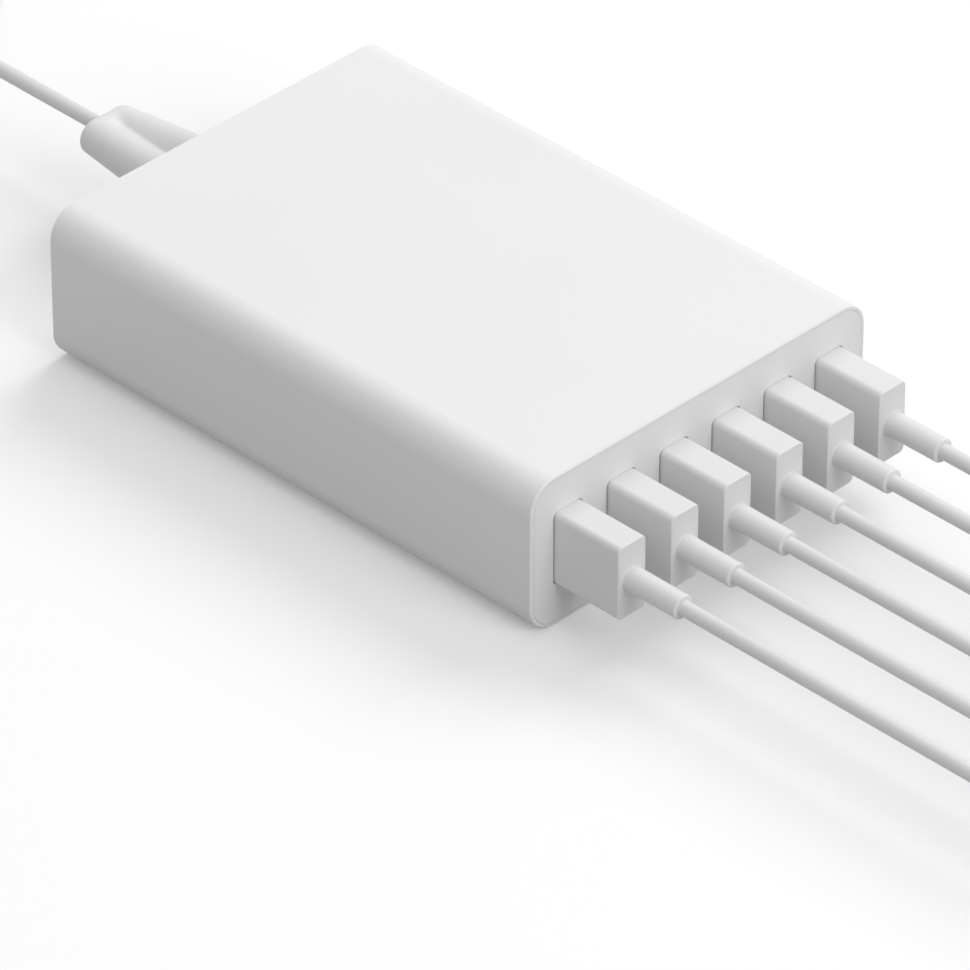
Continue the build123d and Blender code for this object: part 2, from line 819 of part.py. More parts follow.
filter_width = room_beside_inlet - filter_wall_gap - filter_inlet_gap
filter_place = (inner_width / 2 - filter_wall_gap - filter_width / 2, board_rear - filter_setback)
with BuildPart() as filter_capacitor:
    with BuildSketch(on_board()):
        with Locations(filter_place):
            RectangleRounded(filter_width, filter_depth, filter_edge)
    extrude(amount=filter_height)
    chamfer(filter_capacitor.faces().sort_by(Axis.Z)[-1].edges(), length=filter_edge / 2)
finish(filter_capacitor, "filter_capacitor")

bridge_place = (filter_place[0], board_rear - bridge_setback)
bridge_leads = [bridge_lead_pitch * (k - (bridge_lead_count - 1) / 2) for k in range(bridge_lead_count)]
with BuildPart() as bridge_rectifier:
    with BuildSketch(on_board()):
        with Locations(*[(bridge_place[0] + x, bridge_place[1]) for x in bridge_leads]):
            Rectangle(bridge_lead, bridge_lead)
    extrude(amount=bridge_stand)
    with BuildSketch(Plane.XY.offset(board_top + bridge_stand)):
        with Locations(bridge_place):
            Rectangle(bridge_width, bridge_thick)
    extrude(amount=bridge_height)
finish(bridge_rectifier, "bridge_rectifier")

bulk_x = -(inner_width / 2 - bulk_can_wall_gap - bulk_can_diameter / 2)
bulk_rear_y = choke_place[1] - choke_base / 2 - bulk_choke_gap - bulk_can_diameter / 2
with BuildPart() as bulk_capacitors:
    with BuildSketch(on_board()):
        with Locations((bulk_x, bulk_rear_y), (bulk_x, bulk_rear_y - bulk_can_spacing)):
            Circle(bulk_can_diameter / 2)
    extrude(amount=tall_part)
    chamfer(bulk_capacitors.edges().group_by(Axis.Z)[-1], length=can_edge)
finish(bulk_capacitors, "bulk_capacitors")

# Transformer: an E-shaped core pair with a window each side of the centre leg, and the winding round it
window_width = (core_width - core_centre_leg - 2 * core_leg) / 2
with BuildPart() as transformer_core:
    with BuildSketch(facing_front(core_y - core_depth / 2)):
        with Locations((core_x, board_top + tall_part / 2)):
            Rectangle(core_width, tall_part)
            with Locations(*[(k * (core_centre_leg + window_width) / 2, 0) for k in (-1, 1)]):
                Rectangle(window_width, tall_part - 2 * core_yoke, mode=Mode.SUBTRACT)
    extrude(amount=-core_depth)
finish(transformer_core, "transformer_core")

winding_width = core_centre_leg + 2 * (window_width - winding_gap)
winding_height = tall_part - 2 * (core_yoke + winding_gap)
with BuildPart() as transformer_winding:
    with BuildSketch(Plane.XY.offset(board_top + (tall_part - winding_height) / 2)):
        with Locations((core_x, core_y)):
            RectangleRounded(winding_width, winding_depth, winding_edge)
            Rectangle(core_centre_leg + 2 * winding_gap, core_depth + 2 * winding_gap, mode=Mode.SUBTRACT)
    extrude(amount=winding_height)
finish(transformer_winding, "transformer_winding")

# Heat sink: a plate with fins towards the wall, and the transistor clamped to its inner face
sink_x = inner_width / 2 - sink_wall_gap - sink_fin_reach - sink_plate / 2
sink_front = port_back + sink_setback
sink_rear = bridge_place[1] - bridge_thick / 2 - sink_bridge_gap
sink_length = sink_rear - sink_front
sink_y = (sink_front + sink_rear) / 2
fin_pitch = (sink_length - sink_fin_thick) / (sink_fin_count - 1)
with BuildPart() as heat_sink:
    with BuildSketch(on_board()):
        with Locations((sink_x, sink_y)):
            Rectangle(sink_plate, sink_length)
        with Locations((sink_x + sink_plate / 2 + sink_fin_reach / 2, sink_y)):
            with GridLocations(0, fin_pitch, 1, sink_fin_count):
                Rectangle(sink_fin_reach, sink_fin_thick)
    extrude(amount=tall_part)
finish(heat_sink, "heat_sink")

transistor_x = sink_x - sink_plate / 2
with BuildPart() as power_transistor:
    with BuildSketch(on_board()):
        with Locations((transistor_x - transistor_tab / 2, sink_y)):
            Rectangle(transistor_tab, transistor_width)
    extrude(amount=tall_part)
    with BuildSketch(on_board()):
        with Locations((transistor_x - transistor_thick / 2, sink_y)):
            Rectangle(transistor_thick, transistor_width)
    extrude(amount=transistor_height)
finish(power_transistor, "power_transistor")

output_y = port_back + output_can_setback
with BuildPart() as output_capacitors:
    with BuildSketch(on_board()):
        with Locations((core_x, output_y)):
            with GridLocations(output_can_pitch, 0, output_can_count, 1):
                Circle(output_can_diameter / 2)
    extrude(amount=output_can_height)
    chamfer(output_capacitors.edges().group_by(Axis.Z)[-1], length=can_edge)
finish(output_capacitors, "output_capacitors")

with BuildPart() as charge_controllers:
    with BuildSketch(on_board()):
        with Locations(*[(x, port_back + chip_setback) for x in port_places]):
            Rectangle(chip_width, chip_length)
    extrude(amount=chip_height)
finish(charge_controllers, "charge_controllers")
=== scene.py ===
# %% [markdown]
# # A white desktop charger and its leads
# The object is a flat charging block with a row of upright ports along its front. A slim plug sits in each
# port, and a mains connector with two lobes sits in the rear. The block, its panels and everything inside it
# come from the CAD frame, which fixes every size and place. This lesson adds what a solid model can't give:
# cords that lie in smooth bends like cords, moulded plugs with soft edges, and the finish of each surface.

# %% Load the frame
import json
from math import atan2, cos, pi, radians, sin

import bmesh
import bpy
from mathutils import Matrix, Vector


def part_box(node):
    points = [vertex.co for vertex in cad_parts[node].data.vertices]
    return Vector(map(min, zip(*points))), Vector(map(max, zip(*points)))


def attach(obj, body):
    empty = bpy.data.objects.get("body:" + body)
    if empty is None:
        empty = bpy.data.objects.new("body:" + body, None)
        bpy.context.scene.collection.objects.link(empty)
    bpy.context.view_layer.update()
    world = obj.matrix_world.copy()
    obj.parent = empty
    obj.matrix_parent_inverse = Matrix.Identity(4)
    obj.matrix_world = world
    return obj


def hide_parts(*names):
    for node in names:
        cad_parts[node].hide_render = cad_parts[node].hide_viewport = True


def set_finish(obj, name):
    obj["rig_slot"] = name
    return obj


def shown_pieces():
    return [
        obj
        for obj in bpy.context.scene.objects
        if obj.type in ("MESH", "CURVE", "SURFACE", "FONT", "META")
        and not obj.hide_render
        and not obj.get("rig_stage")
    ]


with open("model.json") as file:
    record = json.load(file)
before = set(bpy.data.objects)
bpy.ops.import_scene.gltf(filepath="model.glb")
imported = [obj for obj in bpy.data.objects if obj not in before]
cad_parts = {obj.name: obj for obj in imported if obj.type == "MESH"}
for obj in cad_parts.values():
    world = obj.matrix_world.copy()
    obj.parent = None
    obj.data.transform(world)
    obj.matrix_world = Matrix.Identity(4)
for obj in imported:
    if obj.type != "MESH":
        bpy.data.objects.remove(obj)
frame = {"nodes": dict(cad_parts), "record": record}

scene = bpy.context.scene
nodes = frame["nodes"]
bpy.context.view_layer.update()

# %% [markdown]
# ## The camera
# A product picture like this one is taken from far away with a long lens, so that edges that are parallel on
# the block stay almost parallel in the picture. The camera's place is given the way a photographer would say
# it: how far it is turned round the block, how high it looks from, and how far away it stands. The long lens
# has a narrow field, so the camera is aimed a few millimetres beside the block's origin to frame it.

# %% Camera
camera_turn = radians(-44.947)
camera_rise = radians(34.821)
camera_distance = 1.4276
lens_mm = 357.26
aim_right = 0.004436
aim_down = 0.012557

back = Vector((
    sin(camera_turn) * cos(camera_rise),
    -cos(camera_turn) * cos(camera_rise),
    sin(camera_rise),
))
right = Vector((cos(camera_turn), sin(camera_turn), 0))
up = back.cross(right)
camera = bpy.data.objects.new("camera", bpy.data.cameras.new("camera"))
camera.data.lens = lens_mm
camera.location = back * camera_distance
line_of_sight = right * aim_right - up * aim_down - camera.location
camera.rotation_euler = line_of_sight.to_track_quat("-Z", "Y").to_euler()
scene.collection.objects.link(camera)
scene.camera = camera
scene.view_settings.view_transform = "Standard"
print("camera stands at", [round(c, 3) for c in camera.location])

# %% [markdown]
# ## The USB leads
# A lead is a round sheath over fine copper strands: it leaves its plug straight, sags to the table and ends
# in a small device plug. It could be a swept mesh, but a curve with a round bevel is easier to steer and
# keeps its thickness by itself. The control points are those of the CAD route, with one more on the first
# leg that keeps the lead straight as long as it is seen to be. A NURBS spline of order 3 draws a smooth
# line that only touches the middle of each leg between them, as a soft sheath would. The thickness is set
# as the radius of the points, with a bevel of 1, because Blender adds that radius to the box it keeps round
# a curve.

# %% A cord as one smooth spline
cord_sides = 20
round_bevel = cord_sides // 4 - 1


def cord_curve(name, points, diameter, steps):
    """A round cord along the points; steps is how finely the line is drawn between two of them."""
    curve = bpy.data.curves.new(name, "CURVE")
    curve.dimensions = "3D"
    spline = curve.splines.new("NURBS")
    spline.points.add(len(points) - 1)
    for spot, place in zip(spline.points, points):
        spot.co = (*place, 1.0)
        spot.radius = diameter / 2
    spline.order_u = 3
    spline.use_endpoint_u = True
    spline.resolution_u = steps
    curve.bevel_depth = 1.0
    curve.bevel_resolution = round_bevel
    curve.use_fill_caps = True
    piece = bpy.data.objects.new(name, curve)
    scene.collection.objects.link(piece)
    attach(piece, "root")
    return piece


# %% Routes of the six leads
lead_numbers = range(1, 7)
lead_diameter = 0.0025
lead_steps = 24


def middle(node):
    low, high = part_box(node)
    return (low + high) / 2


axis_z = middle("usb_plug_1").z
relief_end_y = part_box("usb_plug_1")[0].y
device_mid_z = middle("device_plug_1").z
touch_z = 0.0004

# A point is the sideways shift from its port, the distance ahead of the plug's relief, and the height.
lead_routes = [
    [
        (0.0, 0.0, axis_z),
        (0.0, 0.038, axis_z),
        (0.0, 0.072, axis_z),
        (-0.0018, 0.120, touch_z),
        (-0.0022, 0.148, device_mid_z),
        (-0.0020, 0.162, device_mid_z),
    ],
    [
        (0.0, 0.0, axis_z),
        (0.0, 0.036, axis_z),
        (0.0, 0.070, axis_z),
        (-0.0004, 0.118, touch_z),
        (-0.0016, 0.145, device_mid_z),
        (-0.0014, 0.159, device_mid_z),
    ],
    [
        (0.0, 0.0, axis_z),
        (0.0, 0.035, axis_z),
        (0.0, 0.069, axis_z),
        (-0.0014, 0.119, touch_z),
        (-0.0008, 0.148, device_mid_z),
        (-0.0006, 0.162, device_mid_z),
    ],
    [
        (0.0, 0.0, axis_z),
        (0.0, 0.034, axis_z),
        (0.0, 0.067, axis_z),
        (0.0018, 0.115, touch_z),
        (0.0010, 0.142, device_mid_z),
        (0.0007, 0.156, device_mid_z),
    ],
    [
        (0.0, 0.0, axis_z),
        (0.0, 0.034, axis_z),
        (0.0, 0.068, axis_z),
        (0.0008, 0.118, touch_z),
        (0.0019, 0.146, device_mid_z),
        (0.0016, 0.160, device_mid_z),
    ],
    [
        (0.0, 0.0, axis_z),
        (0.0, 0.032, axis_z),
        (0.0, 0.065, axis_z),
        (0.0023, 0.112, touch_z),
        (0.0025, 0.139, device_mid_z),
        (0.0022, 0.153, device_mid_z),
    ],
]

port_x = {n: middle(f"usb_plug_{n}").x for n in lead_numbers}
lead_points = {}
leads = {}
for n, route in zip(lead_numbers, lead_routes):
    lead_points[n] = [Vector((port_x[n] + shift, relief_end_y - ahead, z)) for shift, ahead, z in route]
    leads[n] = cord_curve(f"lead_{n}", lead_points[n], lead_diameter, lead_steps)
    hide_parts(f"usb_cable_{n}")
    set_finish(leads[n], "cable_white")
print("leads leave their plugs at y", round(relief_end_y, 4), "and height", round(axis_z, 4))

# %% [markdown]
# ## The mains cord
# The mains cord runs straight back from its connector. What is too long to lie free is wound into a coil of
# sixteen turns, four wide and four high, and tied. A loop works out the turns: each turn keeps one radius and
# one height, then slides over to the next in the last fifth of the way round. The tie pulls the bundle
# together, so near it every turn is drawn towards the middle of the bundle.

# %% Turns of the coil
cord_diameter = 0.0025
coil_low, coil_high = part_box("mains_cord_coil")
coil_x = (coil_low.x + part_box("cord_tie")[1].x) / 2
coil_y = (coil_low.y + coil_high.y) / 2
coil_outer = (coil_high.y - coil_low.y) / 2
turns_wide = 4
turns_high = 4
bundle = turns_wide * cord_diameter
ring_radius = coil_outer - bundle / 2
bundle_mid_z = bundle / 2

points_per_turn = 24
turn_step = 2 * pi / points_per_turn
last_turn_share = 0.75
slide_share = 0.2
squeezed = 0.84
squeeze_full = radians(18)
squeeze_gone = radians(55)


def smooth(t):
    t = min(max(t, 0.0), 1.0)
    return t * t * (3 - 2 * t)


def turn_place(turn):
    """The radius and height of one whole turn: rows from the top down, out to in and back by turns."""
    turn = min(turn, turns_wide * turns_high - 1)
    row, column = divmod(turn, turns_wide)
    if row % 2:
        column = turns_wide - 1 - column
    radius = coil_outer - cord_diameter / 2 - column * cord_diameter
    return Vector((radius, bundle - cord_diameter / 2 - row * cord_diameter))


def coil_point(step):
    turn, share = divmod(step / points_per_turn, 1.0)
    slide = smooth((share - 1 + slide_share) / slide_share)
    place = turn_place(int(turn)).lerp(turn_place(int(turn) + 1), slide)
    angle = pi - step * turn_step
    from_tie = abs(atan2(sin(angle), cos(angle)))
    grip = 1 - smooth((from_tie - squeeze_full) / (squeeze_gone - squeeze_full))
    keep = 1 - (1 - squeezed) * grip
    radius = (ring_radius + (place.x - ring_radius) * keep) / cos(turn_step / 2)
    height = bundle_mid_z + (place.y - bundle_mid_z) * keep
    return Vector((coil_x + radius * cos(angle), coil_y + radius * sin(angle), height))


coil_steps = int((turns_wide * turns_high - 1 + last_turn_share) * points_per_turn)
coil_points = [coil_point(step) for step in range(1, coil_steps + 1)]
print("coil has", len(coil_points), "points round", [round(c, 4) for c in (coil_x, coil_y)])

# %% Mains cord
connector_end_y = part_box("mains_connector")[1].y
inlet_z = middle("mains_connector").z
cord_exit = Vector((0.0, connector_end_y, inlet_z))
to_coil = [
    cord_exit,
    Vector((0.0, 0.0876, inlet_z)),
    Vector((0.0, 0.1080, inlet_z)),
    Vector((-0.0008, 0.1280, 0.0092)),
    Vector((-0.0022, 0.1420, 0.0084)),
]
mains_plug_mid_z = middle("mains_plug").z
from_coil = [
    Vector((0.0096, 0.1253, 0.0013)),
    Vector((-0.0030, 0.1259, 0.0014)),
    Vector((-0.0145, 0.1315, 0.0036)),
    Vector((-0.0210, 0.1420, mains_plug_mid_z)),
    Vector((-0.0210, 0.1525, mains_plug_mid_z)),
]
mains_steps = 3
mains_cord = cord_curve("mains_flex", to_coil + coil_points + from_coil, cord_diameter, mains_steps)
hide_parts("mains_cord", "mains_cord_coil", "mains_cord_tail")
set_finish(mains_cord, "cable_white")
print("mains cord has", len(to_coil) + len(coil_points) + len(from_coil), "control points")

# %% [markdown]
# ## Moulded pieces from rings
# A plug body is moulded round the end of its lead: straight sides, softly rounded edges and a strain relief
# in the same piece. A cube with a bevel would do for the body but not for the relief that grows out of it, so
# each plug is drawn as rings that follow one another along its length, joined by quads. A quarter circle of
# rings makes each rounded edge, and two rings of different shape in one plane are joined by a flat face.

# %% Ring helpers
corner_points = 7
circle_points = 48
edge_rings = 5


def box_ring(width, height, corner, y):
    """A rectangle with round corners, standing across the y axis."""
    ring = []
    for quarter, (sx, sz) in enumerate(((1, 1), (-1, 1), (-1, -1), (1, -1))):
        centre = Vector((sx * (width / 2 - corner), y, sz * (height / 2 - corner)))
        for k in range(corner_points):
            angle = (quarter + k / (corner_points - 1)) * pi / 2
            ring.append(centre + Vector((corner * cos(angle), 0, corner * sin(angle))))
    return ring


def round_ring(radius, y):
    angles = [2 * pi * k / circle_points for k in range(circle_points)]
    return [Vector((radius * cos(a), y, radius * sin(a))) for a in angles]


def quarter_turn():
    """Sine and cosine along a rounded edge, from its start to its end."""
    angles = [k * pi / 2 / (edge_rings - 1) for k in range(edge_rings)]
    return [(sin(a), cos(a)) for a in angles]


def add_rings(shell, rings):
    """Joins rings of equal count with quads; returns the first and the last loop."""
    loops = [[shell.verts.new(point) for point in ring] for ring in rings]
    for one, other in zip(loops, loops[1:]):
        for k in range(len(one)):
            after = (k + 1) % len(one)
            shell.faces.new((one[k], one[after], other[after], other[k]))
    return loops[0], loops[-1]


def loop_edges(shell, loop):
    found = []
    for k in range(len(loop)):
        pair = (loop[k], loop[(k + 1) % len(loop)])
        found.append(shell.edges.get(pair) or shell.edges.new(pair))
    return found


def bridge(shell, one, other):
    bmesh.ops.bridge_loops(shell, edges=loop_edges(shell, one) + loop_edges(shell, other))


sharp_from = radians(38)


def moulding(name, shell, place, slot):
    """Turns the finished shell into a piece with soft shading that keeps its flat faces flat."""
    bmesh.ops.recalc_face_normals(shell, faces=shell.faces)
    mesh = bpy.data.meshes.new(name)
    shell.to_mesh(mesh)
    shell.free()
    mesh.transform(place)
    mesh.shade_smooth()
    mesh.set_sharp_from_angle(angle=sharp_from)
    piece = bpy.data.objects.new(name, mesh)
    scene.collection.objects.link(piece)
    weighted = piece.modifiers.new("flat faces", "WEIGHTED_NORMAL")
    weighted.keep_sharp = True
    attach(piece, "root")
    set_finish(piece, slot)
    return piece


# %% [markdown]
# ## The USB plugs
# Each plug is a slim upright slab. Its front edges are crisp, its long edges a little rounder, and the relief
# leaves the front with a small fillet, runs almost straight and ends in a ring round the lead. The sizes are
# read from the CAD plug; only the radii of the soft edges are set here.

# %% USB plug bodies
plug_low, plug_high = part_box("usb_plug_1")
panel_face_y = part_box("front_panel")[0].y
plug_width = plug_high.x - plug_low.x
plug_height = plug_high.z - plug_low.z
relief_length = 0.01015
plug_front_y = relief_end_y + relief_length
plug_entry = 0.0017
plug_back_y = panel_face_y + plug_entry
plug_corner = 0.0009
plug_edge = 0.00022
relief_radius = 0.00196
relief_end_radius = 0.00194
relief_root = 0.0002
relief_edge = 0.0003


def usb_plug_shell():
    shell = bmesh.new()
    body = [box_ring(plug_width, plug_height, plug_corner, plug_back_y)]
    for rise, run in quarter_turn():
        inset = plug_edge * (1 - run)
        y = plug_front_y + plug_edge * (1 - rise)
        body.append(box_ring(plug_width - 2 * inset, plug_height - 2 * inset, plug_corner - inset, y))
    back_loop, face_loop = add_rings(shell, body)
    shell.faces.new(back_loop)
    relief = []
    for rise, run in quarter_turn():
        radius = relief_radius + relief_root * (1 - rise)
        relief.append(round_ring(radius, plug_front_y - relief_root * (1 - run)))
    for rise, run in quarter_turn():
        radius = relief_end_radius - relief_edge * (1 - run)
        relief.append(round_ring(radius, relief_end_y + relief_edge * (1 - rise)))
    root_loop, end_loop = add_rings(shell, relief)
    bridge(shell, face_loop, root_loop)
    shell.faces.new(end_loop)
    return shell


for n in lead_numbers:
    at_port = Matrix.Translation((port_x[n], 0, axis_z))
    moulding(f"usb_plug_{n}_body", usb_plug_shell(), at_port, "plug_white")
    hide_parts(f"usb_plug_{n}")
print("plug bodies", round(plug_width * 1000, 2), "by", round(plug_height * 1000, 2), "mm")

# %% [markdown]
# ## The device plugs
# The far end of each lead has a small flat plug that lies on the table. It is the same kind of moulding, with
# a shorter relief and rounder edges, and it points the way its lead points. Its steel tip is the CAD solid.

# %% Device plug bodies
device_width = 0.0096
device_thick = 0.0052
device_corner = 0.0019
device_length = 0.0145
device_edge = 0.0006
device_relief_radius = 0.0018
device_relief_length = 0.006
device_relief_root = 0.0004
device_relief_edge = 0.0003


def device_plug_shell():
    """A device plug that starts at its lead and points along +y."""
    shell = bmesh.new()
    relief = []
    for rise, run in quarter_turn():
        radius = device_relief_radius - device_relief_edge * (1 - rise)
        relief.append(round_ring(radius, device_relief_edge * (1 - run)))
    for rise, run in quarter_turn():
        radius = device_relief_radius + device_relief_root * (1 - run)
        relief.append(round_ring(radius, device_relief_length - device_relief_root * (1 - rise)))
    end_loop, root_loop = add_rings(shell, relief)
    shell.faces.new(end_loop)
    body = []
    for rise, run in quarter_turn():
        inset = device_edge * (1 - rise)
        y = device_relief_length + device_edge * (1 - run)
        body.append(box_ring(device_width - 2 * inset, device_thick - 2 * inset, device_corner - inset, y))
    for rise, run in quarter_turn():
        inset = device_edge / 2 * (1 - run)
        y = device_relief_length + device_length - device_edge / 2 * (1 - rise)
        body.append(box_ring(device_width - 2 * inset, device_thick - 2 * inset, device_corner - inset, y))
    shoulder_loop, face_loop = add_rings(shell, body)
    bridge(shell, root_loop, shoulder_loop)
    shell.faces.new(face_loop)
    return shell


for n in lead_numbers:
    start = lead_points[n][-1]
    along = (start - lead_points[n][-2]).normalized()
    turned = Vector((0, 1, 0)).rotation_difference(along).to_matrix().to_4x4()
    at_lead = Matrix.Translation(start) @ turned
    moulding(f"device_plug_{n}_body", device_plug_shell(), at_lead, "plug_white")
    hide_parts(f"device_plug_{n}")
print("device plugs start at", [round(lead_points[n][-1].y, 4) for n in lead_numbers])

# %% [markdown]
# ## The mains connector
# The connector that sits in the rear has two round lobes, one for each pin, with a groove between them that
# runs out towards the cord. The CAD solid is a straight-sided loft through a few outlines; here the same
# outline is drawn as a ring at many places along its length, so that the groove can run out in a soft
# curve. Each ring is two lobes joined by two hollow arcs that touch them. The nose that reaches into the
# block has a bore for each pin.

# %% Two-lobed rings
lobe_points = 41
hollow_points = 13


def arc(x, z, radius, start, end, count):
    angles = [start + (end - start) * k / (count - 1) for k in range(count)]
    return [(x + radius * cos(a), z + radius * sin(a)) for a in angles]


def lobed_ring(spread, radius, waist, y):
    """Lobes with their centres 2 x spread apart; waist is half the height between them."""
    hollow = (waist**2 + spread**2 - radius**2) / (2 * (radius - waist))
    away = waist + hollow
    lean = atan2(away, spread)
    outline = arc(spread, 0, radius, lean - pi, pi - lean, lobe_points)
    outline += arc(0, away, hollow, -lean, lean - pi, hollow_points)[1:-1]
    outline += arc(-spread, 0, radius, lean, 2 * pi - lean, lobe_points)
    outline += arc(0, -away, hollow, pi - lean, lean, hollow_points)[1:-1]
    return [Vector((x, y, z)) for x, z in outline]


# %% Connector body
connector_low, connector_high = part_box("mains_connector")
connector_gap = 0.0003
connector_root_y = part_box("rear_panel")[1].y + connector_gap
nose_ends = (connector_low.y, connector_root_y)
pin_spread = 0.0043
root_radius = 0.0042
root_waist = 0.0010
end_spread = 0.00257
end_radius = 0.00291
end_waist = 0.00284
end_edge = 0.0006
nose_radius = 0.0036
nose_waist = 0.0008
bore_radius = 0.00135
groove_waist = 0.00226
groove_fade = 0.16
taper_rings = 65


def between(start, end, share):
    return start + (end - start) * share


def waist_at(share):
    """Deep along the middle, then out to the plain end over the last part of the taper."""
    deep = between(root_waist, groove_waist, share)
    return between(end_waist, deep, smooth((1 - share) / groove_fade))


def connector_rings():
    """From the tip of the nose to the cord's end."""
    rings = [lobed_ring(pin_spread, nose_radius, nose_waist, y) for y in nose_ends]
    taper_end_y = connector_high.y - end_edge
    for k in range(taper_rings):
        share = k / (taper_rings - 1)
        spread = between(pin_spread, end_spread, share)
        radius = between(root_radius, end_radius, share)
        y = between(connector_root_y, taper_end_y, share)
        rings.append(lobed_ring(spread, radius, waist_at(share), y))
    for rise, run in quarter_turn()[1:]:
        inset = end_edge * (1 - run)
        y = taper_end_y + end_edge * rise
        rings.append(lobed_ring(end_spread, end_radius - inset, end_waist - inset, y))
    return rings


def connector_shell():
    shell = bmesh.new()
    tip_loop, end_loop = add_rings(shell, connector_rings())
    shell.faces.new(end_loop)
    tip_edges = loop_edges(shell, tip_loop)
    for side in (-1, 1):
        at_pin = Vector((side * pin_spread, 0, 0))
        bore = [[point + at_pin for point in round_ring(bore_radius, y)] for y in nose_ends]
        mouth_loop, floor_loop = add_rings(shell, bore)
        shell.faces.new(floor_loop)
        tip_edges += loop_edges(shell, mouth_loop)
    bmesh.ops.triangle_fill(shell, use_beauty=True, edges=tip_edges)
    return shell


at_inlet = Matrix.Translation((0, 0, inlet_z))
connector_body = moulding("mains_connector_body", connector_shell(), at_inlet, "plug_white")
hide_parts("mains_connector")
print("connector is", round((connector_high.y - connector_root_y) * 1000, 1), "mm long behind the block")

# %% [markdown]
# ## The mains plug
# The mains plug lies flat beside the coil. It is a soft moulding: a tapered relief round the cord,
# shoulders that swell in an S-curve, and a face with a small radius. The rings of the USB plugs serve
# again; the swelling is the smooth step that the coil already uses. The two blades are the CAD solids.

# %% Mains plug body
mains_low, mains_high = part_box("mains_plug")
mains_width = mains_high.x - mains_low.x
mains_thick = mains_high.z - mains_low.z
mains_relief_length = 0.009
mains_shoulder_length = 0.011
mains_neck_y = mains_low.y + mains_relief_length
mains_shoulder_y = mains_neck_y + mains_shoulder_length
mains_corner = 0.0035
mains_edge = 0.0007
neck_width = 0.012
neck_thick = 0.0085
neck_corner = 0.0032
neck_edge = 0.0006
swelling_rings = 9
mains_relief_radius = 0.0032
mains_relief_end = 0.0018
groove_count = 3
rings_per_groove = 8
groove_depth = 0.00035


def mains_relief_rings():
    """The tapered relief, with a few shallow grooves that let it bend."""
    rings = []
    count = rings_per_groove * groove_count + 1
    for k in range(count):
        share = k / (count - 1)
        radius = between(mains_relief_end, mains_relief_radius, share)
        groove = groove_depth * max(0.0, sin(2 * pi * groove_count * share)) ** 2
        rings.append(round_ring(radius - groove, between(mains_low.y, mains_neck_y, share)))
    return rings


def mains_plug_shell():
    shell = bmesh.new()
    end_loop, root_loop = add_rings(shell, mains_relief_rings())
    shell.faces.new(end_loop)
    body = []
    for rise, run in quarter_turn():
        inset = neck_edge * (1 - rise)
        y = mains_neck_y + neck_edge * (1 - run)
        body.append(box_ring(neck_width - 2 * inset, neck_thick - 2 * inset, neck_corner - inset, y))
    for k in range(1, swelling_rings):
        share = k / (swelling_rings - 1)
        swell = smooth(share)
        width = between(neck_width, mains_width, swell)
        thick = between(neck_thick, mains_thick, swell)
        corner = between(neck_corner, mains_corner, swell)
        y = between(mains_neck_y + neck_edge, mains_shoulder_y, share)
        body.append(box_ring(width, thick, corner, y))
    for rise, run in quarter_turn():
        inset = mains_edge * (1 - run)
        y = mains_high.y - mains_edge * (1 - rise)
        body.append(box_ring(mains_width - 2 * inset, mains_thick - 2 * inset, mains_corner - inset, y))
    neck_loop, face_loop = add_rings(shell, body)
    bridge(shell, root_loop, neck_loop)
    shell.faces.new(face_loop)
    return shell


at_mains_plug = Matrix.Translation((middle("mains_plug").x, 0, mains_plug_mid_z))
mains_plug_body = moulding("mains_plug_body", mains_plug_shell(), at_mains_plug, "plug_white")
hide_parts("mains_plug")
print("mains plug is", round((mains_high.y - mains_low.y) * 1000, 1), "mm long")

# %% [markdown]
# ## The tie
# The tie is a flat band pulled tight round the bundle, so its corners are as round as the cord that they
# lie on. A straight band bent by a modifier would need its ends hidden; here the same kind of rings are
# turned about the coil's axis instead, once for the outside and once for the inside, and joined along both
# edges.

# %% Cord tie
tie_low, tie_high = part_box("cord_tie")
tie_outer = bundle
tie_thick = 0.0006
tie_outer_corner = 0.0018
tie_edge = 0.00025
tie_half_turn = (tie_high.y - tie_low.y) / 2 / (ring_radius + bundle / 2)
tie_rings = 9


def turned_about_coil(ring, angle):
    """Moves a ring that stands across the y axis to its place round the coil."""
    return [Vector(((ring_radius + p.x) * cos(angle), (ring_radius + p.x) * sin(angle), p.z)) for p in ring]


def cord_tie_shell():
    shell = bmesh.new()
    outside = []
    inside = []
    for k in range(tie_rings):
        share = 2 * k / (tie_rings - 1) - 1
        angle = tie_half_turn * share
        rim = tie_edge if k in (0, tie_rings - 1) else 0.0
        outer = tie_outer - 2 * rim
        inner = tie_outer - 2 * tie_thick
        outside.append(turned_about_coil(box_ring(outer, outer, tie_outer_corner - rim, 0), angle))
        inside.append(turned_about_coil(box_ring(inner, inner, tie_outer_corner - tie_thick, 0), angle))
    first_out, last_out = add_rings(shell, outside)
    first_in, last_in = add_rings(shell, inside)
    bridge(shell, first_out, first_in)
    bridge(shell, last_out, last_in)
    return shell


at_coil = Matrix.Translation((coil_x, coil_y, bundle_mid_z))
tie_band = moulding("tie_band", cord_tie_shell(), at_coil, "tie_white")
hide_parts("cord_tie")
print("tie is", round((tie_high.y - tie_low.y) * 1000, 1), "mm wide")
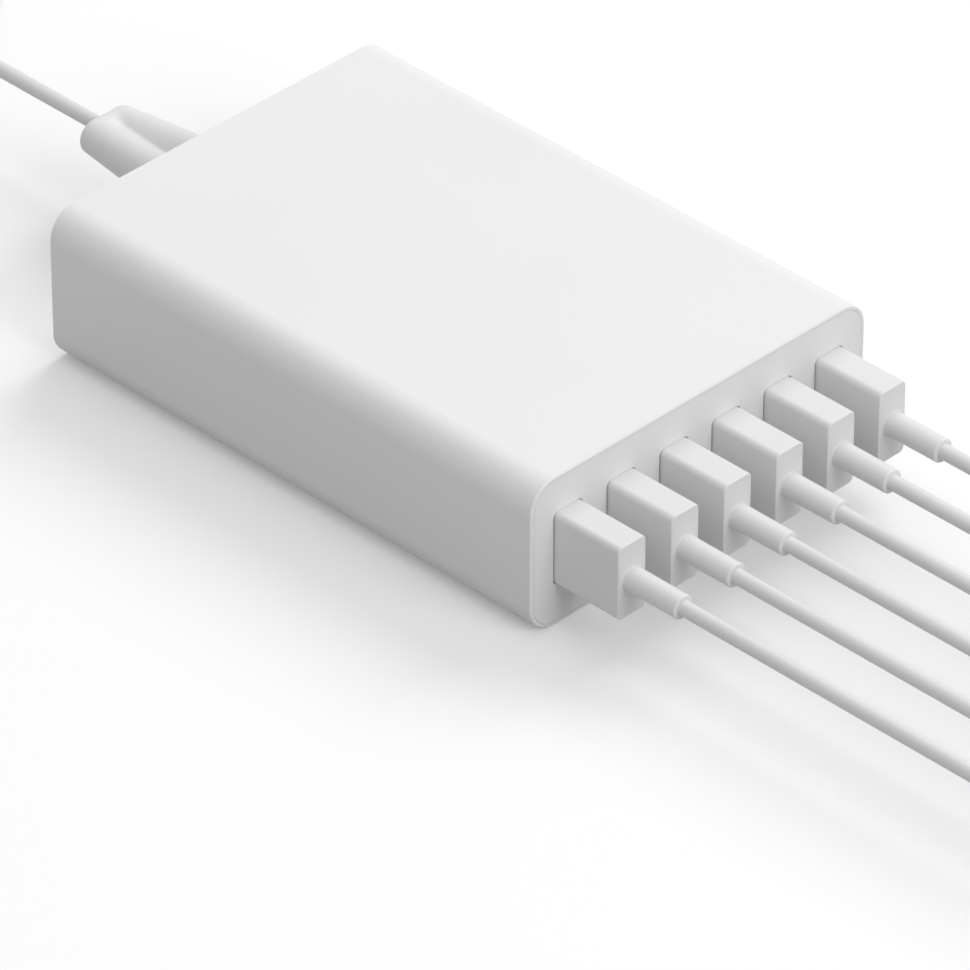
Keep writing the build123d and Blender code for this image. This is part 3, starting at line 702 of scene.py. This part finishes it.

# %% [markdown]
# ## The cords
# A cord on a real charger is not rigid; here each one is drawn in the one shape that it lies in. The mains
# cord is given the usual length of such a cord, and its coil is wound to hold it.

# %% [markdown]
# ## The floor and the light
# The picture is a studio shot on white. A large plane is the floor; it is a plain white surface that shows
# the block's shadow, and to the camera it adds a little glow of its own, so that it stays white where no
# shadow falls. To the rays that light the block it is a grey card: white would throw so much light back up
# that the sides lost their shade. The world fills in from all round. A large soft lamp in front lights the
# ports. A second one stands high on the right and a little behind the front panel, so that it brightens the
# top and the right of every round cord but leaves the front in even light.

# %% Floor
floor_half = 12.0
floor_mesh = bpy.data.meshes.new("floor")
floor_mesh.from_pydata(
    [(x * floor_half, y * floor_half, 0) for x, y in ((-1, -1), (1, -1), (1, 1), (-1, 1))],
    [],
    [(0, 1, 2, 3)],
)
floor = bpy.data.objects.new("floor", floor_mesh)
scene.collection.objects.link(floor)
floor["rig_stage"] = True


def seen_directly(tree):
    """1 for rays from the camera or from a mirror or glass, 0 for the rays that light the object."""
    path = tree.nodes.new("ShaderNodeLightPath")
    mirrored = tree.nodes.new("ShaderNodeMath")
    mirrored.operation = "MAXIMUM"
    tree.links.new(path.outputs["Is Glossy Ray"], mirrored.inputs[0])
    tree.links.new(path.outputs["Is Transmission Ray"], mirrored.inputs[1])
    either = tree.nodes.new("ShaderNodeMath")
    either.operation = "MAXIMUM"
    tree.links.new(path.outputs["Is Camera Ray"], either.inputs[0])
    tree.links.new(mirrored.outputs[0], either.inputs[1])
    return either.outputs[0]


floor_white = 0.88
floor_card = 0.44
floor_glow = 0.16
paper_roughness = 0.9
paper = bpy.data.materials.new("floor_paper")
paper.use_nodes = True
paper_tree = paper.node_tree
paper_shader = paper_tree.nodes["Principled BSDF"]
paper_shader.inputs["Roughness"].default_value = paper_roughness
paper_shader.inputs["Specular IOR Level"].default_value = 0.0
paper_shader.inputs["Emission Color"].default_value = (1, 1, 1, 1)
glow = paper_tree.nodes.new("ShaderNodeMath")
glow.operation = "MULTIPLY"
glow.inputs[1].default_value = floor_glow
seen = seen_directly(paper_tree)
paper_tree.links.new(seen, glow.inputs[0])
paper_tree.links.new(glow.outputs[0], paper_shader.inputs["Emission Strength"])
shade = paper_tree.nodes.new("ShaderNodeMapRange")
shade.inputs["To Min"].default_value = floor_card
shade.inputs["To Max"].default_value = floor_white
paper_tree.links.new(seen, shade.inputs["Value"])
paper_tree.links.new(shade.outputs["Result"], paper_shader.inputs["Base Color"])
floor_mesh.materials.append(paper)
print("floor is", 2 * floor_half, "m wide")

# %% World and lamps
fill_strength = 0.52
world = bpy.data.worlds.new("studio")
world.use_nodes = True
scene.world = world
world_tree = world.node_tree
lighting = world_tree.nodes["Background"]
lighting.inputs["Color"].default_value = (1, 1, 1, 1)
lighting.inputs["Strength"].default_value = fill_strength
backdrop = world_tree.nodes.new("ShaderNodeBackground")
backdrop.inputs["Color"].default_value = (1, 1, 1, 1)
chosen = world_tree.nodes.new("ShaderNodeMixShader")
world_tree.links.new(seen_directly(world_tree), chosen.inputs[0])
world_tree.links.new(lighting.outputs[0], chosen.inputs[1])
world_tree.links.new(backdrop.outputs[0], chosen.inputs[2])
world_tree.links.new(chosen.outputs[0], world_tree.nodes["World Output"].inputs["Surface"])

lamp_distance = 2.0
lamp_size = 1.3


def soft_lamp(name, direction, power):
    lamp = bpy.data.lights.new(name, "AREA")
    lamp.shape = "DISK"
    lamp.size = lamp_size
    lamp.energy = power
    holder = bpy.data.objects.new(name, lamp)
    holder.location = Vector(direction).normalized() * lamp_distance
    holder.rotation_euler = (-holder.location).to_track_quat("-Z", "Y").to_euler()
    scene.collection.objects.link(holder)
    print(name, "stands at", [round(c, 2) for c in holder.location])


soft_lamp("front_lamp", direction=(0.0, -1.0, 0.75), power=11.8)
soft_lamp("side_lamp", direction=(0.90, 0.15, 1.0), power=16.4)

# %% [markdown]
# ## Finishes
# Most of what shows is white plastic, and what tells one white from another is mostly its grain and its
# gloss.
# The sleeve and the panels have the fine spark-eroded grain of a moulding tool, the plugs are smoother, and
# the sheath of the leads is soft and slightly wavy. The plugs are also a shade darker than the sleeve: that
# is painted shade, for the shade they sit in below the top of the block. Plain values sit on the shader's own
# sockets; noise in the object's own metres adds the grain, so that it has the same size on every piece.

# %% Finish helpers
# Most of a noise pattern lies between these two values.
noise_low = 0.3
noise_high = 0.7


def start_finish(name, colour, roughness, metallic=0.0):
    """A new material with its plain values set; returns it."""
    material = bpy.data.materials.new(name)
    material.use_nodes = True
    shader = material.node_tree.nodes["Principled BSDF"]
    shader.inputs["Base Color"].default_value = (*colour, 1)
    shader.inputs["Roughness"].default_value = roughness
    shader.inputs["Metallic"].default_value = metallic
    return material


def grain(material, size, detail=2.0, stretch=(1, 1, 1)):
    """Noise with features of about that size in metres; stretch draws it out along an axis."""
    tree = material.node_tree
    place = tree.nodes.new("ShaderNodeTexCoord")
    mapping = tree.nodes.new("ShaderNodeMapping")
    mapping.inputs["Scale"].default_value = [1 / (size * s) for s in stretch]
    noise = tree.nodes.new("ShaderNodeTexNoise")
    noise.inputs["Scale"].default_value = 1.0
    noise.inputs["Detail"].default_value = detail
    tree.links.new(place.outputs["Object"], mapping.inputs["Vector"])
    tree.links.new(mapping.outputs["Vector"], noise.inputs["Vector"])
    return noise.outputs["Fac"]


def vary_colour(material, pattern, dark, light):
    tree = material.node_tree
    ramp = tree.nodes.new("ShaderNodeValToRGB")
    ramp.color_ramp.elements[0].position = noise_low
    ramp.color_ramp.elements[0].color = (*dark, 1)
    ramp.color_ramp.elements[1].position = noise_high
    ramp.color_ramp.elements[1].color = (*light, 1)
    tree.links.new(pattern, ramp.inputs["Fac"])
    tree.links.new(ramp.outputs["Color"], tree.nodes["Principled BSDF"].inputs["Base Color"])


def vary_gloss(material, pattern, smoothest, roughest):
    tree = material.node_tree
    spread = tree.nodes.new("ShaderNodeMapRange")
    spread.inputs["From Min"].default_value = noise_low
    spread.inputs["From Max"].default_value = noise_high
    spread.inputs["To Min"].default_value = smoothest
    spread.inputs["To Max"].default_value = roughest
    tree.links.new(pattern, spread.inputs["Value"])
    tree.links.new(spread.outputs["Result"], tree.nodes["Principled BSDF"].inputs["Roughness"])


def raise_grain(material, pattern, depth, strength=1.0):
    tree = material.node_tree
    bump = tree.nodes.new("ShaderNodeBump")
    bump.inputs["Distance"].default_value = depth
    bump.inputs["Strength"].default_value = strength
    tree.links.new(pattern, bump.inputs["Height"])
    tree.links.new(bump.outputs["Normal"], tree.nodes["Principled BSDF"].inputs["Normal"])


# %% White plastics
cloud_size = 0.03
gloss_patch = 0.0015
gloss_change = 0.04


def moulded(name, dark, light, gloss, grain_size, grain_depth):
    """Clouds of colour, patches of gloss and the tool's grain, in metres; gloss is the mean roughness."""
    material = start_finish(name, light, gloss)
    vary_colour(material, grain(material, cloud_size), dark, light)
    vary_gloss(material, grain(material, gloss_patch), gloss - gloss_change, gloss + gloss_change)
    raise_grain(material, grain(material, grain_size, detail=3.0), grain_depth)
    return material


def grey(value, warmth=0.0):
    return (value, value - warmth / 2, value - warmth)


finishes = {
    "housing_white": moulded("housing_white", grey(0.852, 0.002), grey(0.866, 0.002), 0.5, 0.00035, 4e-6),
    "panel_white": moulded("panel_white", grey(0.848, 0.01), grey(0.862, 0.01), 0.5, 0.00035, 4e-6),
    # This white is a shade darker than the sleeve's: painted shade for the plugs below the block's top; the
    # cords' other mouldings share it.
    "plug_white": moulded("plug_white", grey(0.79, 0.004), grey(0.805, 0.004), 0.4, 0.0005, 2e-6),
    "cable_white": moulded("cable_white", grey(0.755), grey(0.775), 0.42, 0.0012, 4e-6),
    "tie_white": moulded("tie_white", grey(0.80, 0.01), grey(0.83, 0.01), 0.6, 0.0004, 2e-5),
}
print("white plastics", sorted(finishes))

# %% [markdown]
# ## Metals
# Nickel-plated sheet, brass and extruded aluminium are all drawn or rolled, which leaves fine lines along one
# direction. Noise that is stretched along that direction gives the lines; it drives the gloss and a shallow
# bump, so the lines show only where light glances off them, as on the real metal.

# %% Drawn metals
line_width = 0.0002
line_depth = 3e-6
tarnish_size = 0.004
smoother_by = 0.08
rougher_by = 0.1


def drawn_metal(name, dark, light, gloss, along):
    """A metal with fine lines; along says how many times longer than wide they are on each axis."""
    material = start_finish(name, light, gloss, metallic=1.0)
    lines = grain(material, line_width, detail=3.0, stretch=along)
    vary_colour(material, grain(material, tarnish_size), dark, light)
    vary_gloss(material, lines, gloss - smoother_by, gloss + rougher_by)
    raise_grain(material, lines, line_depth)
    return material


dull_brass = (0.66, 0.53, 0.27)
bright_brass = (0.74, 0.61, 0.34)
lengthways = (1, 30, 1)
upright = (1, 1, 40)
finishes["port_steel"] = drawn_metal("port_steel", grey(0.60), grey(0.66), 0.26, lengthways)
finishes["contact_brass"] = drawn_metal("contact_brass", dull_brass, bright_brass, 0.28, lengthways)
finishes["sink_aluminium"] = drawn_metal("sink_aluminium", grey(0.68), grey(0.74), 0.38, upright)
print("with the metals there are", len(finishes), "finishes")

# %% [markdown]
# ## The parts inside
# None of these show while the case is shut, but the model can be opened. Black mouldings and epoxy are the
# same plastic recipe with other numbers. The board gets the faint weave of its glass cloth under the green
# lacquer, the winding the edges of its tape, and the ferrite the coarse speckle of pressed and fired powder.

# %% Plain mouldings inside
finishes["insert_black"] = moulded("insert_black", grey(0.024), grey(0.034), 0.5, 0.0003, 4e-6)
finishes["inlet_black"] = moulded("inlet_black", grey(0.026), grey(0.036), 0.4, 0.0004, 4e-6)
finishes["chip_epoxy"] = moulded("chip_epoxy", grey(0.03), grey(0.042), 0.62, 0.0002, 8e-6)
finishes["film_yellow"] = moulded("film_yellow", (0.76, 0.56, 0.10), (0.81, 0.61, 0.13), 0.36, 0.0006, 3e-6)
finishes["can_sleeve"] = moulded("can_sleeve", (0.045, 0.055, 0.09), (0.055, 0.066, 0.11), 0.24, 0.004, 1e-5)
finishes["ferrite"] = moulded("ferrite", grey(0.075), grey(0.11), 0.72, 0.00025, 2e-5)
print("with the mouldings inside there are", len(finishes), "finishes")


# %% Board and winding
# The wave node turns through this many radians for each unit of its scale.
wave_radians = 20
unevenness = 0.6
cloth_pitch = 0.0005
tape_pitch = 0.0022


def bands(material, pitch, direction):
    """Even bands across one axis, for woven cloth or laid tape."""
    tree = material.node_tree
    place = tree.nodes.new("ShaderNodeTexCoord")
    wave = tree.nodes.new("ShaderNodeTexWave")
    wave.bands_direction = direction
    wave.inputs["Scale"].default_value = 2 * pi / (wave_radians * pitch)
    wave.inputs["Distortion"].default_value = unevenness
    tree.links.new(place.outputs["Object"], wave.inputs["Vector"])
    return wave.outputs["Fac"]


def times(material, one, other):
    tree = material.node_tree
    product = tree.nodes.new("ShaderNodeMath")
    product.operation = "MULTIPLY"
    tree.links.new(one, product.inputs[0])
    tree.links.new(other, product.inputs[1])
    return product.outputs[0]


board = start_finish("board_laminate", (0.05, 0.22, 0.10), 0.34)
weave = times(board, bands(board, cloth_pitch, "X"), bands(board, cloth_pitch, "Y"))
vary_colour(board, weave, (0.042, 0.19, 0.085), (0.056, 0.24, 0.11))
vary_gloss(board, grain(board, 0.004), 0.28, 0.4)
raise_grain(board, weave, 8e-6)
finishes["board_laminate"] = board

tape = start_finish("winding_tape", (0.75, 0.62, 0.16), 0.38)
laid = bands(tape, tape_pitch, "Z")
vary_colour(tape, laid, (0.69, 0.55, 0.13), (0.77, 0.64, 0.17))
vary_gloss(tape, grain(tape, 0.003), 0.3, 0.46)
raise_grain(tape, laid, 3e-5)
finishes["winding_tape"] = tape
print("inside finishes ready,", len(finishes), "in all")

# %% [markdown]
# ## Dressing the charger
# The record says which finish each solid of the frame wears, and each piece made here carries the name of
# its own.

# %% Give every node and piece its finish
for row in frame["record"]["subparts"]:
    nodes[row["node"]].material_slots[0].material = finishes[row["material_slot"]]
dressed = [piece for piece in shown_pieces() if "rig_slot" in piece]
for piece in dressed:
    piece.data.materials.append(finishes[piece["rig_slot"]])
